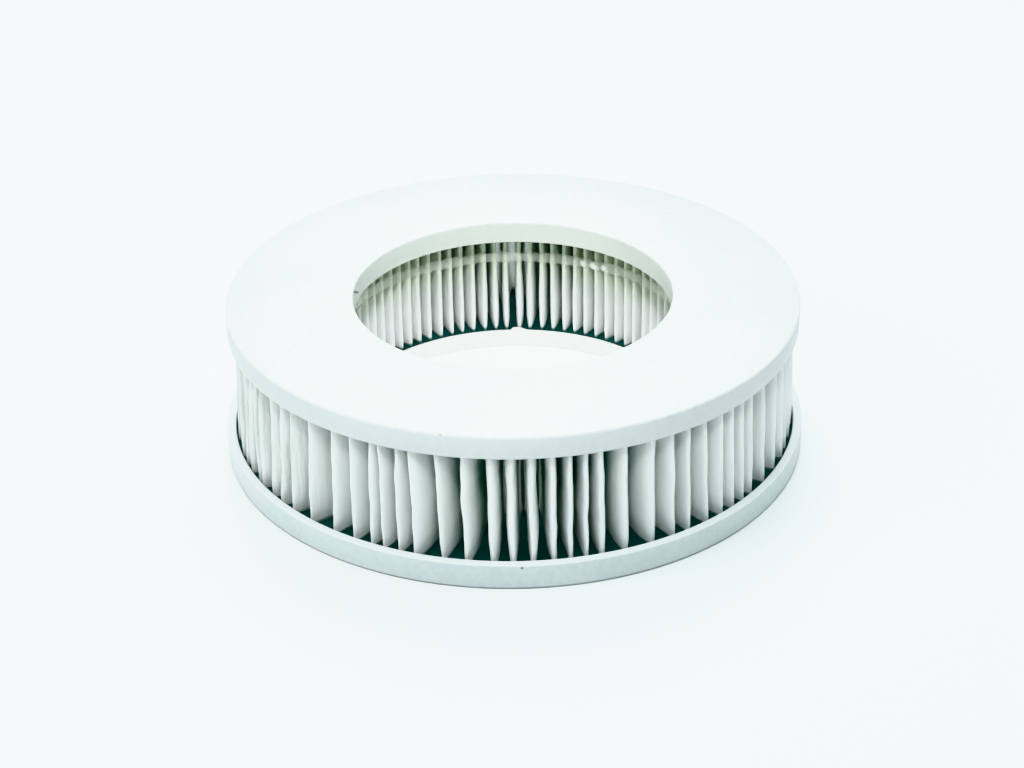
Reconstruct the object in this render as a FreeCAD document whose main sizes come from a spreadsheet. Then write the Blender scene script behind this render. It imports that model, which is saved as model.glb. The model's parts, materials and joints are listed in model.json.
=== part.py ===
import FreeCAD, Part
import math
import os

import Sketcher

# Ring filter cartridge: a folded paper pack potted between two moulded ring trays, with a hole
# through its middle. Millimetres, +Z up. The origin is the middle of the face that it stands on,
# and the Z axis is the axis of the ring.

os.makedirs("parts", exist_ok=True)
doc = FreeCAD.newDocument("ring_filter")


# Sizes that are chosen, in millimetres apart from the count

driving_sizes = [
    ("cap_radius", 95.0, "top tray, outside"),
    ("filter_height", 52.8, "floor to top face"),
    ("top_hole_radius", 53.1, "hole in the top tray"),
    ("bottom_hole_radius", 58.7, "hole in the bottom tray"),
    ("top_depth", 7.9, "top tray, face to skirt edge"),
    ("top_skirt_wall", 1.5, "top tray, both skirts"),
    ("bottom_lip_height", 8.7, "bottom tray, outer lip above the floor"),
    ("bottom_lip_wall", 2.9, "bottom tray, outer lip"),
    ("inner_lip_height", 6.4, "bottom tray, lip round the hole"),
    ("inner_lip_wall", 1.6, "bottom tray, lip round the hole"),
    ("plate_thickness", 1.6, "flat plate of both trays"),
    ("edge_break", 0.4, "moulded edges that show"),
    ("skirt_gap", 0.3, "outer folds to the top skirt"),
    ("outer_lip_gap", 1.3, "outer folds to the bottom outer lip"),
    ("inner_lip_gap", 0.5, "inner folds to the lip round the hole"),
    ("pleat_count", 90, "folds round the ring"),
    ("paper_thickness", 0.5, "filter paper"),
    ("paper_bedding", 0.8, "adhesive under each edge of the paper"),
    ("top_potting_depth", 5.0, "adhesive in the top tray"),
    ("bottom_potting_depth", 4.4, "adhesive in the bottom tray"),
    ("bead_drop", 9.5, "top skirt edge to the middle of the bead"),
    ("bead_height", 4.0, "bead, where it lies on the folds"),
    ("bead_front_height", 2.2, "bead, along its front"),
    ("bead_proud", 0.9, "bead in front of the folds"),
]

# Sizes that follow from them, so that what fits together moves together

following_sizes = [
    ("top_face", "filter_height"),
    ("top_plate_under", "filter_height - plate_thickness"),
    ("top_skirt_edge", "filter_height - top_depth"),
    ("top_channel_outer", "cap_radius - top_skirt_wall"),
    ("top_channel_inner", "top_hole_radius + top_skirt_wall"),
    ("outer_fold_radius", "top_channel_outer - skirt_gap"),
    ("bottom_channel_outer", "outer_fold_radius + outer_lip_gap"),
    ("bottom_cap_radius", "bottom_channel_outer + bottom_lip_wall"),
    ("bottom_channel_inner", "bottom_hole_radius + inner_lip_wall"),
    ("inner_fold_radius", "bottom_channel_inner + inner_lip_gap"),
    ("outer_crease_radius", "outer_fold_radius - paper_thickness"),
    ("inner_crease_radius", "inner_fold_radius + paper_thickness"),
    ("half_pitch", "180 / pleat_count"),
    ("paper_foot", "plate_thickness + paper_bedding"),
    ("paper_height", "filter_height - 2 * paper_foot"),
    ("top_potting_level", "top_plate_under - top_potting_depth"),
    ("bottom_potting_level", "plate_thickness + bottom_potting_depth"),
    ("bead_middle", "top_skirt_edge - bead_drop"),
    ("bead_top", "bead_middle + bead_height / 2"),
    ("bead_bottom", "bead_middle - bead_height / 2"),
    ("bead_front_top", "bead_middle + bead_front_height / 2"),
    ("bead_front_bottom", "bead_middle - bead_front_height / 2"),
    ("bead_front_radius", "inner_fold_radius - bead_proud"),
]

sizes = doc.addObject("Spreadsheet::Sheet", "Sizes")
for row, (alias, value, note) in enumerate(driving_sizes, start=1):
    sizes.set(f"A{row}", alias)
    sizes.set(f"B{row}", str(value))
    sizes.set(f"C{row}", note)
    sizes.setAlias(f"B{row}", alias)
for row, (alias, formula) in enumerate(following_sizes, start=len(driving_sizes) + 2):
    sizes.set(f"A{row}", alias)
    sizes.set(f"B{row}", "=" + formula)
    sizes.setAlias(f"B{row}", alias)
doc.recompute()


def value_of(alias):
    """The present value of a named size."""
    return float(sizes.get(alias))


def origin_feature(body, role):
    """One of a body's own base planes or axes."""
    for feature in body.Origin.OriginFeatures:
        if feature.Role == role:
            return feature
    raise RuntimeError("no base feature " + role)


def new_sketch(body, name, plane):
    """An empty sketch on one of the body's own base planes."""
    sketch = body.newObject("Sketcher::SketchObject", name)
    sketch.AttachmentSupport = [(origin_feature(body, plane), "")]
    sketch.MapMode = "FlatFace"
    return sketch


def bind(sketch, constraint, name, alias):
    """Add a named constraint and tie its value to a named size."""
    index = sketch.addConstraint(constraint)
    sketch.renameConstraint(index, name)
    sketch.setExpression("Constraints." + name, "Sizes." + alias)


def ring_section(body, name, corners):
    """Straight-sided section of a ring; each corner gives its radius and its height by name.

    A height of None lies on the radius axis, which is the floor.
    """
    sketch = new_sketch(body, name, "XZ_Plane")
    points = []
    for radius, height in corners:
        level = 0.0 if height is None else value_of(height)
        points.append(FreeCAD.Vector(value_of(radius), level, 0))
    count = len(points)
    directions = []
    for index in range(count):
        following = (index + 1) % count
        sketch.addGeometry(Part.LineSegment(points[index], points[following]), False)
        if corners[index][0] == corners[following][0]:
            directions.append("Vertical")
        elif corners[index][1] == corners[following][1]:
            directions.append("Horizontal")
        else:
            directions.append("Sloping")
    for index in range(count):
        sketch.addConstraint(
            Sketcher.Constraint("Coincident", index, 2, (index + 1) % count, 1))
        if directions[index] != "Sloping":
            sketch.addConstraint(Sketcher.Constraint(directions[index], index))

    for index, (radius, height) in enumerate(corners):
        before = directions[index - 1]
        after = directions[index]
        if after == "Vertical" or "Vertical" not in (before, after):
            reach = Sketcher.Constraint("DistanceX", -1, 1, index, 1, points[index].x)
            bind(sketch, reach, f"radius_{index}", radius)
        if after != "Horizontal" and "Horizontal" in (before, after):
            continue
        if height is None:
            sketch.addConstraint(Sketcher.Constraint("PointOnObject", index, 1, -1))
        else:
            rise = Sketcher.Constraint("DistanceY", -1, 1, index, 1, points[index].y)
            bind(sketch, rise, f"height_{index}", height)
    return sketch


def revolve(body, sketch):
    """Turn a section once round the axis of the ring."""
    revolution = body.newObject("PartDesign::Revolution", body.Name + "_turn")
    revolution.Profile = sketch
    revolution.ReferenceAxis = (sketch, ["V_Axis"])
    revolution.Angle = 360
    doc.recompute()
    return revolution


def break_edges(body, feature, circles):
    """Take the sharpness off the circular edges at the given radii and heights."""
    names = []
    for number, edge in enumerate(feature.Shape.Edges, start=1):
        if not isinstance(edge.Curve, Part.Circle):
            continue
        for radius, height in circles:
            same_radius = abs(edge.Curve.Radius - value_of(radius)) < 1e-6
            same_height = abs(edge.Curve.Center.z - value_of(height)) < 1e-6
            if same_radius and same_height:
                names.append(f"Edge{number}")
    chamfer = body.newObject("PartDesign::Chamfer", body.Name + "_edges")
    chamfer.Base = (feature, names)
    chamfer.setExpression("Size", "Sizes.edge_break")
    doc.recompute()


# Top tray: upside down, a flat face with a skirt outside and one round the hole

top_cap = doc.addObject("PartDesign::Body", "TopCap")
top_cap.Label = "top_end_cap"
top_section = ring_section(top_cap, "TopCapSection", [
    ("top_hole_radius", "top_skirt_edge"),
    ("top_channel_inner", "top_skirt_edge"),
    ("top_channel_inner", "top_plate_under"),
    ("top_channel_outer", "top_plate_under"),
    ("top_channel_outer", "top_skirt_edge"),
    ("cap_radius", "top_skirt_edge"),
    ("cap_radius", "top_face"),
    ("top_hole_radius", "top_face"),
])
top_turn = revolve(top_cap, top_section)
break_edges(top_cap, top_turn, [
    ("cap_radius", "top_face"),
    ("top_hole_radius", "top_face"),
])


# Bottom tray: a thick outer lip and a low lip round a wider hole, open upwards

bottom_cap = doc.addObject("PartDesign::Body", "BottomCap")
bottom_cap.Label = "bottom_end_cap"
bottom_section = ring_section(bottom_cap, "BottomCapSection", [
    ("bottom_hole_radius", None),
    ("bottom_cap_radius", None),
    ("bottom_cap_radius", "bottom_lip_height"),
    ("bottom_channel_outer", "bottom_lip_height"),
    ("bottom_channel_outer", "plate_thickness"),
    ("bottom_channel_inner", "plate_thickness"),
    ("bottom_channel_inner", "inner_lip_height"),
    ("bottom_hole_radius", "inner_lip_height"),
])
bottom_turn = revolve(bottom_cap, bottom_section)
break_edges(bottom_cap, bottom_turn, [
    ("bottom_cap_radius", "bottom_lip_height"),
])


# Paper pack: one pleat, repeated round the ring. Each fold is creased sharp inside and has a
# narrow flat crest outside, and both faces of a flank run straight from one fold to the next.

media = doc.addObject("PartDesign::Body", "Media")
media.Label = "pleated_media"


def mirrored(point):
    """The same point on the other flank of the pleat."""
    return FreeCAD.Vector(point.x, -point.y, 0)


def pleat_section(body):
    """One pleat about the X axis, from the middle of one inner fold to the middle of the next."""
    thickness = value_of("paper_thickness")
    half_angle = math.radians(value_of("half_pitch"))
    ray = FreeCAD.Vector(math.cos(half_angle), math.sin(half_angle), 0)
    beside_ray = FreeCAD.Vector(ray.y, -ray.x, 0)
    outer_crease = FreeCAD.Vector(value_of("outer_crease_radius"), 0, 0)
    outer_corner = FreeCAD.Vector(value_of("outer_fold_radius"), thickness, 0)
    inner_crease = ray * value_of("inner_crease_radius")
    inner_crest = ray * value_of("inner_fold_radius")
    inner_corner = inner_crest + beside_ray * thickness

    outline = [mirrored(outer_corner), outer_corner, inner_crease, inner_crest, inner_corner,
               outer_crease, mirrored(inner_corner), mirrored(inner_crest),
               mirrored(inner_crease)]
    sketch = new_sketch(body, "PleatSection", "XY_Plane")
    count = len(outline)
    for index in range(count):
        side = Part.LineSegment(outline[index], outline[(index + 1) % count])
        sketch.addGeometry(side, False)
    crest, gap_face, _, inner_half_crest, hollow_face = range(5)
    ray_line = sketch.addGeometry(Part.LineSegment(FreeCAD.Vector(0, 0, 0), inner_crease), True)

    for index in range(count):
        sketch.addConstraint(
            Sketcher.Constraint("Coincident", index, 2, (index + 1) % count, 1))
    sketch.addConstraint(Sketcher.Constraint("Coincident", ray_line, 1, -1, 1))
    sketch.addConstraint(Sketcher.Constraint("Coincident", ray_line, 2, gap_face, 2))
    sketch.addConstraint(Sketcher.Constraint("PointOnObject", inner_half_crest, 1, ray_line))
    sketch.addConstraint(Sketcher.Constraint("Perpendicular", inner_half_crest, ray_line))
    sketch.addConstraint(Sketcher.Constraint("PointOnObject", hollow_face, 2, -1))
    for index, opposite in ((1, 0), (2, 8), (3, 7), (4, 6)):
        sketch.addConstraint(Sketcher.Constraint("Symmetric", index, 1, opposite, 1, -1))

    bind(sketch, Sketcher.Constraint("DistanceX", -1, 1, crest, 1, outer_corner.x),
         "outer_fold", "outer_fold_radius")
    bind(sketch, Sketcher.Constraint("DistanceX", -1, 1, hollow_face, 2, outer_crease.x),
         "outer_crease", "outer_crease_radius")
    bind(sketch, Sketcher.Constraint("Distance", ray_line, inner_crease.Length),
         "inner_crease", "inner_crease_radius")
    bind(sketch, Sketcher.Constraint("Distance", inner_half_crest, 1, -1, 1, inner_crest.Length),
         "inner_fold", "inner_fold_radius")
    bind(sketch, Sketcher.Constraint("Distance", hollow_face, 2, gap_face, thickness),
         "gap_face_thickness", "paper_thickness")
    bind(sketch, Sketcher.Constraint("Distance", gap_face, 2, hollow_face, thickness),
         "hollow_face_thickness", "paper_thickness")
    angle = sketch.addConstraint(Sketcher.Constraint("Angle", -1, 1, ray_line, 1, half_angle))
    sketch.renameConstraint(angle, "half_angle")
    sketch.setExpression("Constraints.half_angle", "Sizes.half_pitch * 1 deg")
    sketch.setExpression("AttachmentOffset.Base.z", "Sizes.paper_foot")
    return sketch


pleat_outline = pleat_section(media)
pleat = media.newObject("PartDesign::Pad", "Pleat")
pleat.Profile = pleat_outline
pleat.setExpression("Length", "Sizes.paper_height")
doc.recompute()
pleats = media.newObject("PartDesign::PolarPattern", "Pleats")
pleats.Originals = [pleat]
pleats.Axis = (origin_feature(media, "Z_Axis"), [""])
pleats.Angle = 360
pleats.setExpression("Occurrences", "Sizes.pleat_count")
media.Tip = pleats
doc.recompute()


# Potting: a ring of adhesive that fills the bottom of each tray, less the paper that stands in it

def ring_less_paper(name, label, blank):
    """A ring with a slot for every fold of the paper."""
    cut = doc.addObject("Part::Cut", name)
    cut.Label = label
    cut.Base = blank
    cut.Tool = media
    return cut


bottom_fill = doc.addObject("PartDesign::Body", "BottomFill")
revolve(bottom_fill, ring_section(bottom_fill, "BottomFillSection", [
    ("bottom_channel_inner", "plate_thickness"),
    ("bottom_channel_outer", "plate_thickness"),
    ("bottom_channel_outer", "bottom_potting_level"),
    ("bottom_channel_inner", "bottom_potting_level"),
]))
bottom_potting = ring_less_paper("BottomPotting", "bottom_potting", bottom_fill)

top_fill = doc.addObject("PartDesign::Body", "TopFill")
revolve(top_fill, ring_section(top_fill, "TopFillSection", [
    ("top_channel_inner", "top_potting_level"),
    ("top_channel_outer", "top_potting_level"),
    ("top_channel_outer", "top_plate_under"),
    ("top_channel_inner", "top_plate_under"),
]))
top_potting = ring_less_paper("TopPotting", "top_potting", top_fill)


# Spacer bead: a string of hot-melt, pressed flat along the crests of the inner folds

bead = doc.addObject("PartDesign::Body", "Bead")
bead.Label = "spacer_bead"
revolve(bead, ring_section(bead, "BeadSection", [
    ("inner_fold_radius", "bead_bottom"),
    ("inner_fold_radius", "bead_top"),
    ("bead_front_radius", "bead_front_top"),
    ("bead_front_radius", "bead_front_bottom"),
]))


# Check every object and every piece, then write the pieces

doc.recompute()
pieces = [top_cap, bottom_cap, media, top_potting, bottom_potting, bead]
for item in doc.Objects:
    if "Invalid" in item.State or "Error" in item.State:
        raise RuntimeError(f"{item.Name} did not build: {item.State}")
for piece in pieces:
    if piece.Shape.isNull() or not piece.Shape.isValid():
        raise RuntimeError(f"{piece.Label} has no valid shape")
for piece in pieces:
    piece.Shape.exportStep(f"parts/{piece.Label}.step")
    print(piece.Label, len(piece.Shape.Solids), "solid", round(piece.Shape.Volume), "mm3")
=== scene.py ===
import json
import math
import random

import bpy
from mathutils import Matrix, Vector, noise


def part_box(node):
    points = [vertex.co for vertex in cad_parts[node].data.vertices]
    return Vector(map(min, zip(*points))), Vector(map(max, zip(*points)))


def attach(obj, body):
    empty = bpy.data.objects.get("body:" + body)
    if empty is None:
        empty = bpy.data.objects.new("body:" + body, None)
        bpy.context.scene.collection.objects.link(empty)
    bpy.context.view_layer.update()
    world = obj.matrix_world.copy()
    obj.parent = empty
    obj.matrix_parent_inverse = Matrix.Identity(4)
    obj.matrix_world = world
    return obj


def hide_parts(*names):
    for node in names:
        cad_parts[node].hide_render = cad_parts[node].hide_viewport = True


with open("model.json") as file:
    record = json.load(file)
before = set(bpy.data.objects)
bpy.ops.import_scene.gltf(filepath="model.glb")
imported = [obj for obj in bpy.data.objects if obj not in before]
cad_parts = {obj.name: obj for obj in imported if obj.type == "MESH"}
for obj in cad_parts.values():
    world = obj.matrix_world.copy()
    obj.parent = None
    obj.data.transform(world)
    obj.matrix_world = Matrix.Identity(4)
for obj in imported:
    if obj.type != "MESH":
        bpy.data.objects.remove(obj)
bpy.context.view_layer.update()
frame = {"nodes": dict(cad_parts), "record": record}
mm = 0.001  # the scene's lengths are in metres


# The bottom tray: one injection moulding in white plastic, a flat ring plate with a thick outer
# lip and a low lip round the hole. Its edges are slightly rounded and its faces are satin, with
# the faint mottling of the mould and a few specks that have stuck to it.

class Signal:
    """A value in a material's nodes, so that shader maths reads as plain expressions."""

    def __init__(self, tree, socket):
        self.tree = tree
        self.socket = socket

    def node(self, kind, settings, inputs, output=0):
        """A node of any kind: its settings first, then the values or links of its sockets."""
        made = self.tree.nodes.new(kind)
        for name, value in settings.items():
            setattr(made, name, value)
        for name, value in inputs.items():
            if isinstance(value, Signal):
                self.tree.links.new(value.socket, made.inputs[name])
            else:
                made.inputs[name].default_value = value
        return Signal(self.tree, made.outputs[output])

    def maths(self, operation, first, second=0.0):
        """One step of arithmetic on values or signals."""
        return self.node("ShaderNodeMath", {"operation": operation}, {0: first, 1: second})

    def __add__(self, other):
        return self.maths("ADD", self, other)

    def __radd__(self, other):
        return self.maths("ADD", other, self)

    def __sub__(self, other):
        return self.maths("SUBTRACT", self, other)

    def __rsub__(self, other):
        return self.maths("SUBTRACT", other, self)

    def __mul__(self, other):
        return self.maths("MULTIPLY", self, other)

    def __rmul__(self, other):
        return self.maths("MULTIPLY", other, self)

    def __pow__(self, other):
        return self.maths("POWER", self, other)

    def rise(self, low, high):
        """0 below low, 1 above high and smooth between them."""
        limits = {"Value": self, "From Min": low, "From Max": high}
        return self.node("ShaderNodeMapRange", {"interpolation_type": "SMOOTHSTEP"}, limits)

    def blend(self, low, high):
        """The colour low where this value is 0, and the colour high where it is 1."""
        return self.node("ShaderNodeMix", {"data_type": "RGBA"},
                         {0: self, 6: low, 7: high}, 2)

    def speckle(self, size, detail=2.0):
        """Soft noise with spots of about this size in metres, from 0 to 1."""
        return self.node("ShaderNodeTexNoise", {},
                         {"Vector": self, "Scale": 0.5 / size, "Detail": detail}, "Fac")

    def spot(self, centre, radius):
        """1 at a point of the piece, falling to 0 at this distance from it."""
        distance = self.node("ShaderNodeVectorMath", {"operation": "DISTANCE"},
                             {0: self, 1: centre}, "Value")
        return 1.0 - distance.rise(0.4 * radius, radius)

    def band(self, low, high):
        """1 between two values and 0 outside them, with soft edges."""
        soft = 0.3 * mm
        return self.rise(low - soft, low + soft) * (1.0 - self.rise(high - soft, high + soft))

    def split(self, axis):
        """One coordinate of a place."""
        return self.node("ShaderNodeSeparateXYZ", {}, {0: self}, axis)

    def ring_distance(self):
        """How far a point is from the axis of the ring."""
        x = self.split("X")
        y = self.split("Y")
        return (x * x + y * y) ** 0.5


def new_material(name):
    """A material, its shader and its Object coordinates."""
    material = bpy.data.materials.new(name)
    material.use_nodes = True
    tree = material.node_tree
    place = Signal(tree, None).node("ShaderNodeTexCoord", {}, {}, "Object")
    return material, tree.nodes["Principled BSDF"], place


def feed(shader, **values):
    """Set or link the shader's sockets, named with underscores."""
    for name, value in values.items():
        socket = shader.inputs[name.replace("_", " ")]
        if isinstance(value, Signal):
            value.tree.links.new(value.socket, socket)
        else:
            socket.default_value = value


def bumped(height, distance, strength=1.0):
    """Surface normals for a height signal, with its full height in metres."""
    return height.node("ShaderNodeBump", {},
                       {"Height": height, "Distance": distance, "Strength": strength})


def white_moulding(name, zones, marks):
    """Satin white plastic with mould mottling, zones of painted light and shade, and small dark
    marks.
    """
    material, shader, place = new_material(name)
    cloud = place.speckle(22 * mm, 3.0).rise(0.35, 0.65) * 0.5
    mottle = place.speckle(1.1 * mm, 3.0).rise(0.36, 0.64) * 0.5
    colour = (cloud + mottle).blend((0.555, 0.57, 0.562, 1), (0.69, 0.693, 0.682, 1))
    dust = place.speckle(1.6 * mm, 1.0).rise(0.79, 0.83) * 0.35
    colour = dust.blend(colour, (0.52, 0.54, 0.5, 1))
    height = place.split("Z")
    reach = place.ring_distance()
    for heights, reaches, zone_colour, strength in zones:
        zone = height.band(*heights) * reach.band(*reaches) * strength
        colour = zone.blend(colour, zone_colour)
    for centre, radius, mark_colour, strength in marks:
        mark = place.spot(centre, radius) * strength
        colour = mark.blend(colour, mark_colour)
    grain = place.speckle(0.5 * mm, 2.0)
    ripple = place.speckle(9 * mm, 1.0)
    normal = bumped(grain + ripple * 3.0, 0.02 * mm, 0.6)
    feed(shader, Base_Color=colour, Roughness=0.36 + grain * 0.1, Normal=normal)
    feed(shader, IOR=1.49, Specular_IOR_Level=0.45)
    return material


def start_alone():
    """Leave object mode's selection empty, so that operators act only on what is added next."""
    bpy.ops.object.select_all(action="DESELECT")


def turned_ring(name, section, turns, edge_width):
    """A moulded ring: one circle pulled through the corners of its section and closed."""
    start_alone()
    radius, height = section[0]
    bpy.ops.mesh.primitive_circle_add(vertices=turns, radius=radius, location=(0, 0, height))
    ring = bpy.context.object
    ring.name = name
    bpy.ops.object.mode_set(mode="EDIT")
    bpy.ops.mesh.select_all(action="SELECT")
    for next_radius, next_height in section[1:] + section[:1]:
        grow = next_radius / radius
        bpy.ops.mesh.extrude_edges_move()
        bpy.ops.transform.resize(value=(grow, grow, 1))
        bpy.ops.transform.translate(value=(0, 0, next_height - height))
        radius, height = next_radius, next_height
    bpy.ops.mesh.select_all(action="SELECT")
    bpy.ops.mesh.remove_doubles(threshold=0.01 * mm)
    bpy.ops.mesh.normals_make_consistent(inside=False)
    bpy.ops.object.mode_set(mode="OBJECT")
    bpy.ops.object.transform_apply(location=True, rotation=True, scale=True)
    if edge_width > 0:
        rounding = ring.modifiers.new("edges", "BEVEL")
        rounding.width = edge_width
        rounding.segments = 3
        rounding.limit_method = "ANGLE"
        rounding.angle_limit = math.radians(40)
        bpy.ops.object.modifier_apply(modifier="edges")
    bpy.ops.object.shade_smooth_by_angle(angle=math.radians(30))
    return ring


def seat(piece, material, node):
    """Finish a piece: its material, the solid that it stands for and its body."""
    piece.data.materials.clear()
    piece.data.materials.append(material)
    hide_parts(node)
    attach(piece, "root")


mounts = {mount["name"]: mount for mount in frame["record"]["mounts"]}
ring_turns = 480
plate = 1.6 * mm
tray_edge = 0.5 * mm
far = 1.0  # past the filter on every side, for a zone that is open at one end

bottom_hole = mounts["bottom_hole"]["dims"]["r_mm"] * mm
bottom_lip_wall = 2.9 * mm
inner_lip_wall = 1.6 * mm
inner_lip_top = mounts["bottom_hole"]["dims"]["length_mm"] * mm
bottom_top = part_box("bottom_end_cap")[1]
bottom_outer = bottom_top.x
bottom_channel_outer = bottom_outer - bottom_lip_wall
bottom_channel_inner = bottom_hole + inner_lip_wall

bottom_tray = turned_ring("bottom_tray", [
    (bottom_hole, 0.0),
    (bottom_outer, 0.0),
    (bottom_outer, bottom_top.z),
    (bottom_channel_outer, bottom_top.z),
    (bottom_channel_outer, plate),
    (bottom_channel_inner, plate),
    (bottom_channel_inner, inner_lip_top),
    (bottom_hole, inner_lip_top),
], ring_turns, tray_edge)

# A nib of flash stands on the lip round the hole, at the back: steep on its left, full as far as
# its shoulder and worn away to its right
nib_left = -0.7 * mm
nib_shoulder = 2.9 * mm
nib_right = 6.0 * mm
nib_height = 1.0 * mm
for vertex in bottom_tray.data.vertices:
    reach = vertex.co.to_2d().length
    on_lip = vertex.co.z > inner_lip_top - tray_edge and reach < bottom_channel_inner
    if on_lip and vertex.co.y > 0 and nib_left < vertex.co.x < nib_right:
        worn = max(0.0, vertex.co.x - nib_shoulder) / (nib_right - nib_shoulder)
        vertex.co.z += nib_height * (1.0 - worn) ** 2

# The height of the painted shadow along the foot of the tray
contact_shadow_height = 0.65 * mm
bottom_painted_light_and_shade = [
    # painted light: the top of the outer lip, painted lighter where light falls on it
    ((bottom_top.z - 0.3 * mm, far), (bottom_channel_outer, far), (0.86, 0.88, 0.88, 1), 0.8),
    # painted shade: the outer wall, darker and a little blue
    ((contact_shadow_height, bottom_top.z - 0.5 * mm), (bottom_outer - 0.5 * mm, far),
     (0.50, 0.61, 0.615, 1), 0.5),
    # painted shadow: the lower edge, darkened where it meets the floor
    ((-far, contact_shadow_height), (bottom_channel_outer, far), (0.16, 0.19, 0.18, 1), 0.85),
]

# A speck on the front of the outer wall
bottom_marks = [((1.5 * mm, -97.4 * mm, 7.8 * mm), 0.6 * mm, (0.10, 0.10, 0.08, 1), 0.9)]
seat(bottom_tray, white_moulding("white_moulding_bottom", bottom_painted_light_and_shade, bottom_marks),
     "bottom_end_cap")


# The top tray: a moulding of the same plastic turned upside down, a wide plain face with a skirt
# outside and a skirt round the hole. The face is light, and both skirts carry painted shade that
# makes them a little darker.

top_hole = mounts["top_hole"]["dims"]["r_mm"] * mm
top_skirt_wall = 1.5 * mm
top_depth = mounts["top_hole"]["dims"]["length_mm"] * mm
top_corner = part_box("top_end_cap")[1]
top_face = top_corner.z
top_outer = top_corner.x
skirt_edge = top_face - top_depth
top_channel_outer = top_outer - top_skirt_wall
top_channel_inner = top_hole + top_skirt_wall

top_tray = turned_ring("top_tray", [
    (top_hole, skirt_edge),
    (top_channel_inner, skirt_edge),
    (top_channel_inner, top_face - plate),
    (top_channel_outer, top_face - plate),
    (top_channel_outer, skirt_edge),
    (top_outer, skirt_edge),
    (top_outer, top_face),
    (top_hole, top_face),
], ring_turns, tray_edge)
skirt_top = top_face - 0.8 * mm
top_painted_shade = [
    # painted shade: the outer skirt, greyer than the face
    ((0.0, skirt_top), (top_channel_outer, far), (0.45, 0.50, 0.50, 1), 0.75),
    # painted shade: the skirt round the hole, a little darker and green
    ((0.0, skirt_top), (0.0, top_channel_inner), (0.53, 0.58, 0.52, 1), 0.8),
]

# A speck on the front edge of the face, and a fine dark scratch down the skirt at the left of
# the hole
top_marks = [((-22.3 * mm, -92.3 * mm, 52.7 * mm), 0.7 * mm, (0.3, 0.3, 0.28, 1), 0.8)]
scratch_head = Vector((-53.1, 3.6, 51.6)) * mm
scratch_foot = Vector((-52.1, 10.4, 47.9)) * mm
scratch_spots = 10
for step in range(scratch_spots):
    place = scratch_head.lerp(scratch_foot, step / (scratch_spots - 1))
    top_marks.append((place, 0.6 * mm, (0.02, 0.04, 0.03, 1), 0.9))
seat(top_tray, white_moulding("white_moulding_top", top_painted_shade, top_marks),
     "top_end_cap")


# The paper pack: one strip of glass-fibre paper, folded and closed into a ring. Its outer folds
# lean, bunch and bow a little, while the bead holds the inner folds evenly.

media_low, media_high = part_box("pleated_media")
media_solid = frame["nodes"]["pleated_media"]
media_inner = min(vertex.co.to_2d().length for vertex in media_solid.data.vertices)
pleat_total = 90
pitch = 2 * math.pi / pleat_total
paper = 0.45 * mm
outer_crest_half = 0.2 * mm
outer_crest_drop = 0.03 * mm
inner_crest_half = 0.48 * mm
inner_crest_drop = 0.3 * mm
wall_clearance = paper / 2 + 0.03 * mm
paper_levels = 20
front = -math.pi / 2

# The places along a flank, as shares of it. A pleat has two flanks, two crests and the four
# corners beside them.
stations = (0.03, 0.09, 0.18, 0.31, 0.46, 0.62, 0.78, 0.9, 0.97)
steps_per_pleat = 2 * len(stations) + 6

# Where the feet of the folds in front stand, in degrees to the right of the front, and the
# number of the first of them
front_folds = (-81.0, -77.5, -74.0, -70.5, -67.5, -62.9, -60.9, -56.9, -52.7, -49.6, -43.9, -37.8,
               -32.9, -28.6, -26.0, -22.9, -19.6, -14.1, -9.2, -4.3, -0.4, 3.1, 7.1, 10.4, 13.3,
               16.5, 21.2, 27.1, 31.8, 35.3, 39.8, 44.3, 47.5, 50.6, 54.1, 59.2, 64.7, 69.6)
first_front_fold = -20
crowding = 0.04  # the share by which even folds stand wider in front and closer at the back

# The outer folds all but touch the lip at their feet. They lean in towards their heads, less so
# at the sides of the ring, where they also bulge.
foot_radius = bottom_channel_outer - 0.35 * mm
inner_foot_radius = media_inner + 0.6 * mm
inner_head_radius = media_inner + 0.35 * mm
crest_recess = 0.2 * mm
head_lean = 2.3 * mm
side_relief = 0.9 * mm
side_bulge = 0.45 * mm

# How far the crests wander and the flanks are dented
slow_wave = 0.5 * mm
quick_wave = 0.26 * mm
inner_wave = 0.25 * mm
sway_size = 0.25 * mm
kink_spread = 0.08
dent_size = 0.5 * mm
crinkle = 0.16 * mm

# The crumpled bunch of folds at the left, in degrees from the front
bunch_place = -66
bunch_width = 15

# Chance differences between the folds
chance = random.Random(7)
fold_jitter = [chance.uniform(-0.12, 0.12) for _ in range(pleat_total)]
inner_jitter = [chance.uniform(-0.07, 0.07) for _ in range(pleat_total)]
fold_setback = [chance.uniform(0.0, 0.5) * mm for _ in range(pleat_total)]
fold_lean = [chance.uniform(-0.1, 0.1) for _ in range(pleat_total)]
fold_kink = [chance.uniform(-0.35, 0.35) * mm for _ in range(pleat_total)]
kink_level = [chance.uniform(0.3, 0.75) for _ in range(pleat_total)]
bow_share = 0.17
near_bow = [chance.uniform(0.5, 1.4) for _ in range(pleat_total)]
far_bow = [chance.uniform(0.5, 1.4) for _ in range(pleat_total)]
inner_bow = [chance.uniform(0.4, 1.0) * mm for _ in range(2 * pleat_total)]
bead_level = 0.69  # the bead's height on the paper, as a share of it


def near(angle, place, width):
    """1 at a place given in degrees from the front, falling to 0 round it."""
    apart = math.degrees(math.remainder(angle - front, 2 * math.pi)) - place
    return math.exp(-(apart / width) ** 2)


def crumpling(angle):
    """1 on most folds and up to 3 in the bunch at the left."""
    return 1.0 + 2.0 * near(angle, bunch_place, bunch_width)


def even_place(index):
    """Folds stand a little wider at the front of the ring than at the back."""
    turn = index * pitch
    return front + turn + crowding * math.sin(turn)


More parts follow.
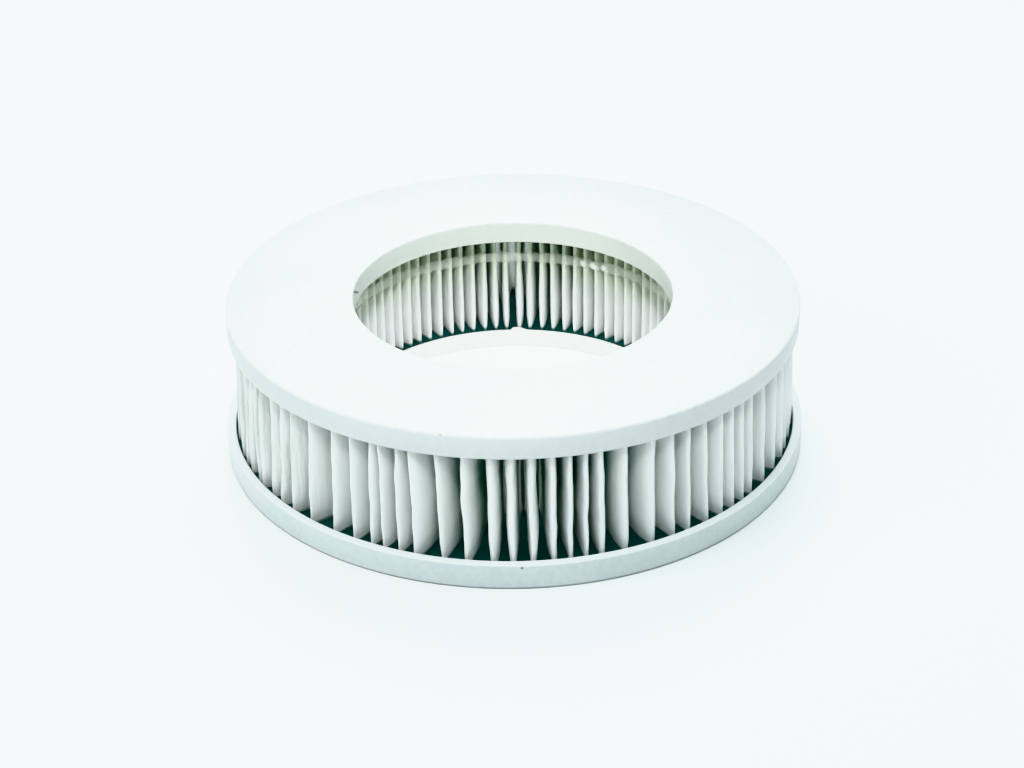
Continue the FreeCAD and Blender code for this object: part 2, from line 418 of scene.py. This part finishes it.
def fold_foot(index):
    """The angle of an outer fold's foot, set one by one in front and loosely bunched behind."""
    whole = (index - first_front_fold) % pleat_total
    if whole < len(front_folds):
        angle = front + math.radians(front_folds[whole])
    else:
        angle = even_place(index)
        unrest = 1.0 - 0.85 * max(0.0, math.sin(angle)) ** 30
        gathering = 0.3 * math.sin(0.94 * whole + 1.0) + fold_jitter[whole]
        angle += gathering * pitch * unrest
    return angle + 2 * math.pi * round((even_place(index) - angle) / (2 * math.pi))


def polar(radius, angle):
    """The flat point at this distance and angle from the axis of the ring."""
    return Vector((radius * math.cos(angle), radius * math.sin(angle)))


def outer_fold(index, level):
    """The crest of an outer fold at a level from 0 at its foot to 1 at its head."""
    whole = index % pleat_total
    angle = fold_foot(index)
    crumple = crumpling(angle)
    lean = fold_lean[whole] * pitch - math.radians(1.3) * near(angle, -13, 15)
    angle += lean * level
    wave = noise.noise((whole * 3.7, level * 2.4, 1.5)) * slow_wave
    wave += noise.noise((whole * 2.9, level * 11.0, 3.5)) * quick_wave
    bend = fold_kink[whole] * math.exp(-((level - kink_level[whole]) / kink_spread) ** 2)
    angle += (wave + bend) * crumple / foot_radius
    sway = noise.noise((whole * 5.3, level * 2.0, 8.5)) * sway_size * crumple
    side = abs(math.cos(angle)) ** 4
    lean_in = (head_lean - side_relief * side) * level
    bulge = side_bulge * side * math.sin(math.pi * level)
    radius = foot_radius - lean_in + bulge - fold_setback[whole] * (1.0 - 0.5 * side)
    return angle, radius - paper / 2 - crest_recess + sway


def inner_fold(index, level):
    """The crest of the inner fold that follows the outer fold of the same number."""
    whole = index % pleat_total
    angle = even_place(index + 0.5) + inner_jitter[whole] * pitch
    wave = noise.noise((whole * 4.1, level * 2.2, 4.5)) * inner_wave
    radius = inner_foot_radius + (inner_head_radius - inner_foot_radius) * level
    return angle + wave / media_inner, radius


def inner_crest_reach(level):
    """Half the width of an inner crest, which is pinched at its foot."""
    return inner_crest_half * min(1.0, max(0.52, 0.15 + 6.0 * level))


def crest_side(angle, radius, aside, drop):
    """A point beside a crest, where the flank starts."""
    out = polar(1.0, angle)
    along = Vector((-out.y, out.x))
    return out * (radius - drop) + along * aside


def paper_point(step, level):
    """The place of one step of the folded strip at one level."""
    index, place = divmod(step, steps_per_pleat)
    half = steps_per_pleat // 2
    if place == 0:
        angle, radius = outer_fold(index, level)
        return polar(radius, angle)
    if place == half:
        angle, radius = inner_fold(index, level)
        return polar(radius, angle)
    leaving = place < half
    outer_index = index if leaving else index + 1
    side = 1 if leaving else -1
    before = outer_fold(index, level)
    after = outer_fold(index + 1, level)
    outer_place = before if leaving else after
    inner_place = inner_fold(index, level)
    start = crest_side(*outer_place, side * outer_crest_half, outer_crest_drop)
    inner_half = inner_crest_reach(level)
    end = crest_side(*inner_place, -side * inner_half, -inner_crest_drop)
    count = place if leaving else steps_per_pleat - place
    if count == 1:
        return start
    if count == half - 1:
        return end
    along = stations[count - 2]
    room = abs(fold_foot(index + 1) - fold_foot(index)) * foot_radius
    bows = near_bow if leaving else far_bow
    strength = bows[outer_index % pleat_total] * bow_share * room
    outer_belly = math.sin(math.pi * along ** 0.5) * min(1.0, 0.5 + 2.2 * level)
    leaf = math.sin(math.pi * min(1.0, level / bead_level) ** 0.75) ** 0.8
    inner_belly = math.sin(math.pi * along ** 4.3) * (0.1 + 0.9 * leaf)
    crumple = crumpling(outer_place[0])
    dent = noise.noise((index * 6.1 + 40 * side, along * 2.6, level * 2.6)) * dent_size * crumple
    dent += noise.noise((index * 4.3 + 50 * side, along * 7.0, level * 7.5)) * crinkle * crumple
    flank = (end - start).normalized()
    across = Vector((-flank.y, flank.x)) * side
    push = strength * outer_belly + dent * math.sin(math.pi * along)
    push -= inner_bow[2 * (index % pleat_total) + leaving] * inner_belly

    # A flank stops where it meets the next one
    outer_room = (after[0] - before[0]) * foot_radius / 2 - outer_crest_half
    inner_room = pitch * media_inner / 2 - inner_half
    outwards = outer_room * (1 - along) + inner_half * along - wall_clearance
    inwards = outer_crest_half * (1 - along) + inner_room * along - wall_clearance
    push = max(-max(0.0, inwards), min(max(0.0, outwards), push))
    return start + (end - start) * along - across * push


def folded_paper():
    """A tube pulled up from one circle, then laid in its folds and given its thickness."""
    steps = pleat_total * steps_per_pleat
    start_alone()
    bpy.ops.mesh.primitive_circle_add(vertices=steps, radius=foot_radius)
    strip = bpy.context.object
    strip.name = "folded_paper"
    rise = (media_high.z - media_low.z) / paper_levels
    bpy.ops.object.mode_set(mode="EDIT")
    bpy.ops.mesh.select_all(action="SELECT")
    for _ in range(paper_levels):
        bpy.ops.mesh.extrude_edges_move()
        bpy.ops.transform.translate(value=(0, 0, rise))
    bpy.ops.mesh.select_all(action="SELECT")
    bpy.ops.mesh.normals_make_consistent(inside=False)
    bpy.ops.object.mode_set(mode="OBJECT")
    for vertex in strip.data.vertices:
        turn = math.atan2(vertex.co.y, vertex.co.x) % (2 * math.pi)
        step = round(turn / (2 * math.pi) * steps) % steps
        level = vertex.co.z / (rise * paper_levels)
        flat = paper_point(step, level)
        vertex.co = (flat.x, flat.y, media_low.z + vertex.co.z)
    thickness = strip.modifiers.new("thickness", "SOLIDIFY")
    thickness.thickness = paper
    thickness.offset = 0
    bpy.ops.object.modifier_apply(modifier="thickness")
    bpy.ops.object.shade_smooth_by_angle(angle=math.radians(70))
    return strip


def filter_paper():
    """Matt glass-fibre paper, fibrous and a little see-through, stained where glue climbed it,
    with painted light and shade on its folds.
    """
    material, shader, place = new_material("filter_paper")
    fibres = place.speckle(0.7 * mm, 4.0)
    cloud = place.speckle(7 * mm, 2.0)
    colour = (cloud * 0.6 + fibres * 0.4).rise(0.3, 0.7).blend(
        (0.92, 0.945, 0.945, 1), (0.98, 0.99, 0.99, 1))
    reach = place.ring_distance()
    height = place.split("Z")
    # painted light: the inner folds above about 20 mm tinted yellow-green and a little darker, the
    # colour of the light inside the hole
    painted_inner_light = (1.0 - reach.rise(63 * mm, 73 * mm)) * height.rise(20 * mm, 38 * mm)
    colour = (painted_inner_light * 0.9).blend(colour, (0.83, 0.93, 0.71, 1))
    # painted shade: the paper darker and green midway between the inner and outer crests, deep in
    # the folds
    painted_deep_shade = reach.rise(67 * mm, 74 * mm) * (1.0 - reach.rise(77 * mm, 87 * mm))
    colour = (painted_deep_shade * 0.85).blend(colour, (0.37, 0.58, 0.46, 1))
    # painted shade: the backs of the inner folds, seen through the gaps, painted dark green
    surface = place.node("ShaderNodeNewGeometry", {}, {}, "Normal")
    outwards = place.node("ShaderNodeVectorMath", {"operation": "DOT_PRODUCT"},
                          {0: place, 1: surface}, "Value")
    backs = outwards.rise(15 * mm, 40 * mm) * (1.0 - reach.rise(64 * mm, 70 * mm))
    colour = backs.blend(colour, (0.10, 0.24, 0.19, 1))
    # painted highlight: a white line along the crest of each outer fold
    leaning = reach + (height - media_low.z) * 0.05
    crest = leaning.rise(foot_radius - 1.5 * mm, foot_radius - 0.7 * mm)
    colour = (crest * 0.9).blend(colour, (1.0, 1.0, 1.0, 1))
    glue_line = 6.0 * mm + place.speckle(4 * mm) * 1.2 * mm
    soaked = (height - glue_line).rise(-0.2 * mm, 0.6 * mm)
    colour = soaked.blend((0.05, 0.16, 0.13, 1), colour)
    upright = place.node("ShaderNodeVectorMath", {"operation": "MULTIPLY"},
                         {0: place, 1: (1.0, 1.0, 0.12)})
    # painted light: the crumpled bunch at the left painted whiter, and painted shade darkening the
    # creases in it
    bunch = place.spot((-86 * mm, -38 * mm, 26 * mm), 55 * mm)
    creases = upright.speckle(2.0 * mm, 3.0)
    colour = (bunch * 0.8).blend(colour, (0.98, 0.99, 0.985, 1))
    colour = (creases.rise(0.54, 0.6) * bunch * 0.35).blend(colour, (0.52, 0.62, 0.52, 1))
    wrinkles = place.speckle(3 * mm, 3.0)
    normal = bumped(fibres * 0.4 + wrinkles * 1.5 + creases * bunch * 9.0, 0.3 * mm, 0.8)
    feed(shader, Base_Color=colour, Roughness=0.9, Normal=normal)
    feed(shader, Specular_IOR_Level=0.2)

    # The paper lets some light through, though hardly any on the backs of the inner folds
    matt = Signal(place.tree, shader.outputs["BSDF"])
    see_through = place.node("ShaderNodeBsdfTranslucent", {}, {"Color": (0.92, 0.96, 0.92, 1)})
    both = place.node("ShaderNodeMixShader", {}, {0: 0.38 - backs * 0.35, 1: matt, 2: see_through})
    place.tree.links.new(both.socket, place.tree.nodes["Material Output"].inputs["Surface"])
    return material


seat(folded_paper(), filter_paper(), "pleated_media")


# The potting: dark green adhesive poured into each tray round the ends of the paper. It creeps
# up the walls of the tray and sets with a slightly uneven, glossy skin.

def adhesive_ring(name, inner, outer, back, face):
    """A poured ring whose open face is hollow between the tray walls."""
    towards = 1 if face > back else -1
    creep = 0.5 * mm * towards
    run = 1.2 * mm
    return turned_ring(name, [
        (inner, back),
        (outer, back),
        (outer, face + creep),
        (outer - run / 2, face + creep / 4),
        (outer - run, face),
        (inner + run, face),
        (inner + run / 2, face + creep / 4),
        (inner, face + creep),
    ], ring_turns, 0.0)


def green_adhesive():
    """Dark green adhesive with a glossy, slightly uneven skin."""
    material, shader, place = new_material("green_adhesive")
    cloud = place.speckle(9 * mm, 3.0)
    colour = cloud.rise(0.35, 0.7).blend((0.001, 0.032, 0.028, 1), (0.002, 0.05, 0.043, 1))
    normal = bumped(place.speckle(3.5 * mm, 2.0), 0.35 * mm, 0.6)
    feed(shader, Base_Color=colour, Roughness=0.28 + cloud * 0.2, Normal=normal)
    return material


adhesive = green_adhesive()
bottom_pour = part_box("bottom_potting")
top_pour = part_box("top_potting")
seat(adhesive_ring("bottom_adhesive", bottom_channel_inner, bottom_channel_outer,
                   bottom_pour[0].z, bottom_pour[1].z),
     adhesive, "bottom_potting")
seat(adhesive_ring("top_adhesive", top_channel_inner, top_channel_outer,
                   top_pour[1].z, top_pour[0].z),
     adhesive, "top_potting")


# The spacer bead: a string of clear hot-melt run once round the inner folds. It is flattened on
# each fold, sags into the gaps between them and swells here and there.

bead_low, bead_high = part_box("spacer_bead")
bead_middle = (bead_low.z + bead_high.z) / 2
bead_half_height = (bead_high.z - bead_low.z) / 2


def laid_bead():
    """A round string pressed to the line of the inner folds."""
    string = 0.5 * mm
    corners = 12
    section = [(media_inner + string * math.cos(turn), string * math.sin(turn))
               for turn in (2 * math.pi * corner / corners for corner in range(corners))]
    bead = turned_ring("hot_melt_bead", section, pleat_total * 10, 0.0)
    level = (bead_middle - media_low.z) / (media_high.z - media_low.z)
    folds = [inner_fold(index, level)[0] for index in range(-1, pleat_total + 1)]
    for vertex in bead.data.vertices:
        turn = math.atan2(vertex.co.y, vertex.co.x)
        across = (vertex.co.to_2d().length - media_inner) / string
        up = vertex.co.z / string
        nearest = min(folds, key=lambda fold: abs(math.remainder(turn - fold, 2 * math.pi)))
        off = abs(math.remainder(turn - nearest, 2 * math.pi)) / (pitch / 2)
        gap = min(1.0, off) ** 2
        blob = noise.noise((math.cos(turn) * 9, math.sin(turn) * 9, 2.0))
        swell = 1.0 + 0.4 * blob
        centre = media_inner - 0.25 * mm + 0.75 * mm * gap
        thick = (0.42 + 0.1 * gap) * mm * swell
        tall = bead_half_height * (0.98 - 0.12 * gap) * (1.0 + 0.3 * blob)
        radius = centre + across * thick
        drift = 0.35 * mm * noise.noise((math.cos(turn) * 4, math.sin(turn) * 4, 6.0))
        vertex.co = (radius * math.cos(turn), radius * math.sin(turn),
                     bead_middle + drift + up * tall)
    bpy.ops.object.shade_smooth()
    return bead


def clear_hot_melt():
    """Clear glossy hot-melt with three painted highlights at the back right, where it is also less
    clear.
    """
    material, shader, place = new_material("clear_hot_melt")
    cloud = place.speckle(5 * mm, 2.0)
    colour = cloud.rise(0.3, 0.7).blend((0.60, 0.67, 0.53, 1), (0.86, 0.90, 0.84, 1))
    normal = bumped(place.speckle(1.5 * mm, 1.0), 0.1 * mm, 0.5)
    # painted highlights: three pale glints painted on the bead at the back right, where it is also
    # made less clear
    painted_glints = place.spot((25.2 * mm, 55.0 * mm, bead_middle), 1.6 * mm)
    painted_glints = painted_glints + place.spot((28.8 * mm, 53.1 * mm, bead_middle - 0.5 * mm), 2.3 * mm)
    painted_glints = painted_glints + place.spot((32.6 * mm, 51.0 * mm, bead_middle), 1.7 * mm)
    feed(shader, Base_Color=painted_glints.blend(colour, (0.95, 0.97, 0.94, 1)), Normal=normal)
    feed(shader, Roughness=0.12 + cloud * 0.1, IOR=1.48, Alpha=0.19 + painted_glints * 0.33)
    return material


seat(laid_bead(), clear_hot_melt(), "spacer_bead")


# The floor, the lights and the camera: a plain pale floor, five soft lights round the filter, two
# narrow ones into its hole, and a long lens that looks down at it from the front.

start_alone()
bpy.ops.mesh.primitive_plane_add(size=4.0, location=(0, 0, 0))
floor = bpy.context.object
floor.name = "pale_floor"
pale, pale_shader, _ = new_material("pale_floor")
feed(pale_shader, Base_Color=(0.985, 0.97, 0.965, 1), Roughness=0.8, Specular_IOR_Level=0.1)
floor.data.materials.append(pale)


def hang(name, lamp, place, target):
    """Put a light in the room so that it faces a point."""
    holder = bpy.data.objects.new(name, lamp)
    bpy.context.scene.collection.objects.link(holder)
    holder.location = place
    holder.rotation_euler = (Vector(target) - Vector(place)).to_track_quat("-Z", "Y").to_euler()


def soft_light(name, size, power, colour, place, target):
    """A square soft light that faces a point."""
    lamp = bpy.data.lights.new(name, "AREA")
    lamp.shape = "SQUARE"
    lamp.size = size
    lamp.energy = power
    lamp.color = colour
    hang(name, lamp, place, target)


def spot_light(name, power, width, blend, place, target):
    """A narrow light that faces a point."""
    lamp = bpy.data.lights.new(name, "SPOT")
    lamp.energy = power
    lamp.color = (1.0, 0.99, 0.99)
    lamp.spot_size = math.radians(width)
    lamp.spot_blend = blend
    lamp.shadow_soft_size = 0.05
    hang(name, lamp, place, target)


for name, power, colour, place in (
        ("overhead", 5.7, (1.0, 0.99, 0.99), (0, 0, 1.2)),
        ("front", 4.2, (0.91, 0.97, 1.0), (0, -0.6, 1.04)),
        ("left", 6.7, (1.0, 0.99, 0.99), (-0.85, -0.35, 0.77)),
        ("right", 3.1, (0.88, 0.97, 1.0), (0.85, 0.1, 0.85)),
        ("behind", 12.4, (1.0, 0.98, 0.98), (0, 0.7, 1.0))):
    soft_light(name, 0.6, power, colour, place, (0, 0, 0.02))

spot_light("into_the_hole", 40.0, 9.5, 0.7, (0, -0.6, 0.75), (0, 0, 0.03))
spot_light("into_the_hole_left", 24.0, 5.4, 1.0, (0.38, -0.56, 0.70), (-0.034, 0.05, 0.011))

world = bpy.data.worlds.new("soft_room")
world.use_nodes = True
sky = world.node_tree.nodes["Background"]
sky.inputs["Color"].default_value = (0.62, 0.95, 1.0, 1)
sky.inputs["Strength"].default_value = 0.31
bpy.context.scene.world = world
bpy.context.scene.view_settings.view_transform = "Khronos PBR Neutral"

tilt = math.radians(29.433)
roll = math.radians(-0.886)
camera_place = Vector((-0.69 * mm, -683.8 * mm, 403.2 * mm))
lens = bpy.data.cameras.new("camera")
lens.sensor_width = 36.0
lens.lens = 81.26
camera = bpy.data.objects.new("camera", lens)
bpy.context.scene.collection.objects.link(camera)
sight = Vector((0, math.cos(tilt), -math.sin(tilt)))
level_right = Vector((1, 0, 0))
level_up = level_right.cross(sight)
right = level_right * math.cos(roll) + level_up * math.sin(roll)
up = level_up * math.cos(roll) - level_right * math.sin(roll)
facing = Matrix((right, up, -sight)).transposed().to_4x4()
camera.matrix_world = Matrix.Translation(camera_place) @ facing
bpy.context.scene.camera = camera
